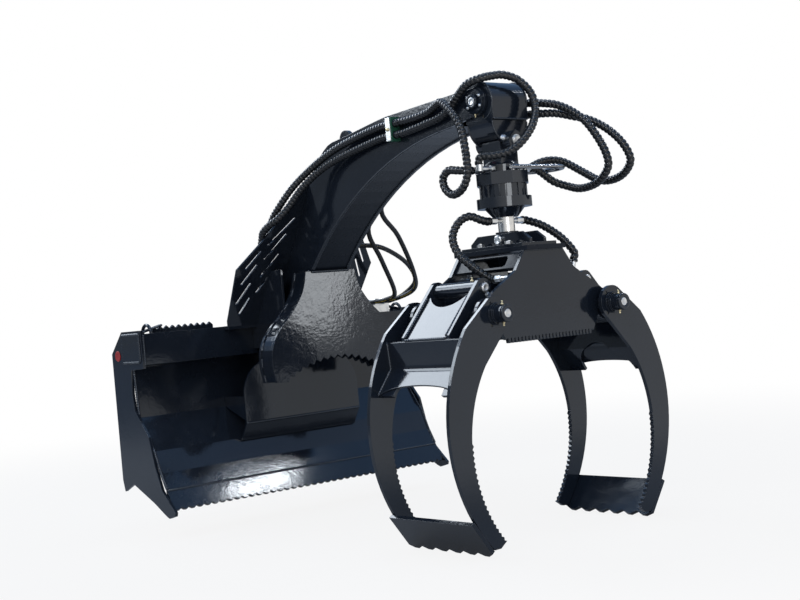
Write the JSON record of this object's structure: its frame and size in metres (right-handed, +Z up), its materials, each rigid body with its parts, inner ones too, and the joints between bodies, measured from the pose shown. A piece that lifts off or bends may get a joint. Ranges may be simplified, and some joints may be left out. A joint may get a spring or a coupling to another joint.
{
  "type": "log grapple",
  "caption": "Log grapple for a skid-steer quick-attach: a blade with a curved boom, a cross link, a hydraulic rotator and a pair of toothed tongs hung over the front.",
  "frame": {"origin": "centre of the quick-attach plate, on its rear face", "axes": "+X across the blade to the machine operator's right, +Y back towards the carrier, +Z up; the boom reaches forward along -Y"},
  "size_m": [1.46, 2.0656, 1.6401],
  "materials": {
    "black_paint": "gloss",
    "bare_steel": "satin",
    "rod_chrome": "polished",
    "zinc_plate": "satin",
    "hose_rubber": "satin",
    "nipple_brass": "satin",
    "red_plastic": "matte"
  },
  "bodies": {
    "frame": {"side_plate_left": "black_paint", "side_plate_right": "black_paint", "top_tube": "black_paint", "moldboard": "black_paint", "cutting_edge": "black_paint", "top_rail": "black_paint", "quick_attach_plate": "black_paint", "rear_ribs": "black_paint", "apron": "black_paint", "bell_front_plate": "black_paint", "bell_rear_plate": "black_paint", "bell_side_strips": "black_paint", "boom_side_left": "black_paint", "boom_side_right": "black_paint", "boom_top_plate": "black_paint", "boom_belly_plate": "black_paint", "louvred_guard": "black_paint", "guard_gussets": "black_paint", "hose_clamps": "black_paint", "coupler_block": "zinc_plate", "boom_hoses": "hose_rubber", "supply_hoses": "hose_rubber", "tie_link_left": "black_paint", "tie_link_right": "black_paint", "upper_link_pin": "bare_steel", "grease_nipples": "nipple_brass", "hose_loop_a": "hose_rubber", "hose_loop_b": "hose_rubber", "hose_loop_c": "hose_rubber", "hose_loop_d": "hose_rubber"},
    "link": {"cross_link": "black_paint", "lower_link_pin": "bare_steel"},
    "rotator": {"rotator_housing": "black_paint", "rotator_cover": "black_paint", "hose_hoop": "black_paint", "port_fittings": "zinc_plate", "neck_plug": "red_plastic"},
    "grapple": {"rotor_shaft": "bare_steel", "head_bracket": "black_paint", "head_bolts": "zinc_plate", "body_plate_front": "black_paint", "body_plate_rear": "black_paint", "body_shell": "black_paint", "tong_pin_left": "bare_steel", "tong_pin_right": "bare_steel", "shaft_fittings": "zinc_plate", "grapple_hose_left": "hose_rubber", "grapple_hose_right": "hose_rubber"},
    "tong_right": {"tong_right_front": "black_paint", "tong_right_rear": "black_paint", "tong_right_bridge": "black_paint", "tip_blade_right": "black_paint", "cylinder_pin_right": "bare_steel"},
    "tong_left": {"tong_left_front": "black_paint", "tong_left_rear": "black_paint", "tong_left_bridge": "black_paint", "tip_blade_left": "black_paint", "cylinder_pin_left": "bare_steel"},
    "barrel": {"cylinder_barrel": "black_paint"},
    "rod": {"cylinder_rod": "rod_chrome"}
  },
  "joints": [
    {"name": "link_swing", "type": "hinge", "parent": "frame", "child": "link", "pos_m": [0, -1.665, 1.015], "axis": [1, 0, 0], "range_deg": [-22, 18], "deforming": ["hose_loop_a", "hose_loop_b", "hose_loop_c", "hose_loop_d"]},
    {"name": "link_tilt", "type": "hinge", "parent": "link", "child": "rotator", "pos_m": [0, -1.665, 0.868], "axis": [0, 1, 0], "range_deg": [-18, 18], "deforming": ["hose_loop_a", "hose_loop_b", "hose_loop_c", "hose_loop_d"]},
    {"name": "rotation", "type": "hinge", "parent": "rotator", "child": "grapple", "pos_m": [0, -1.665, 0.74], "axis": [0, 0, 1], "continuous": true},
    {"name": "tong_right_pivot", "type": "hinge", "parent": "grapple", "child": "tong_right", "pos_m": [0.289, -1.665, 0.266], "axis": [0, 1, 0], "range_deg": [-18, 25]},
    {"name": "tong_left_pivot", "type": "hinge", "parent": "grapple", "child": "tong_left", "pos_m": [-0.289, -1.665, 0.266], "axis": [0, 1, 0], "range_deg": [-25, 18]},
    {"name": "barrel_pivot", "type": "hinge", "parent": "tong_left", "child": "barrel", "pos_m": [-0.255, -1.665, 0.357], "axis": [0, 1, 0], "range_deg": [-18, 25]},
    {"name": "rod_pivot", "type": "hinge", "parent": "tong_right", "child": "rod", "pos_m": [0.255, -1.665, 0.357], "axis": [0, 1, 0], "range_deg": [-25, 18]}
  ],
  "couplings": [
    {"joint": "tong_left_pivot", "follows": "tong_right_pivot", "ratio": -1},
    {"joint": "barrel_pivot", "follows": "tong_right_pivot", "ratio": 1},
    {"joint": "rod_pivot", "follows": "tong_right_pivot", "ratio": -1}
  ]
}
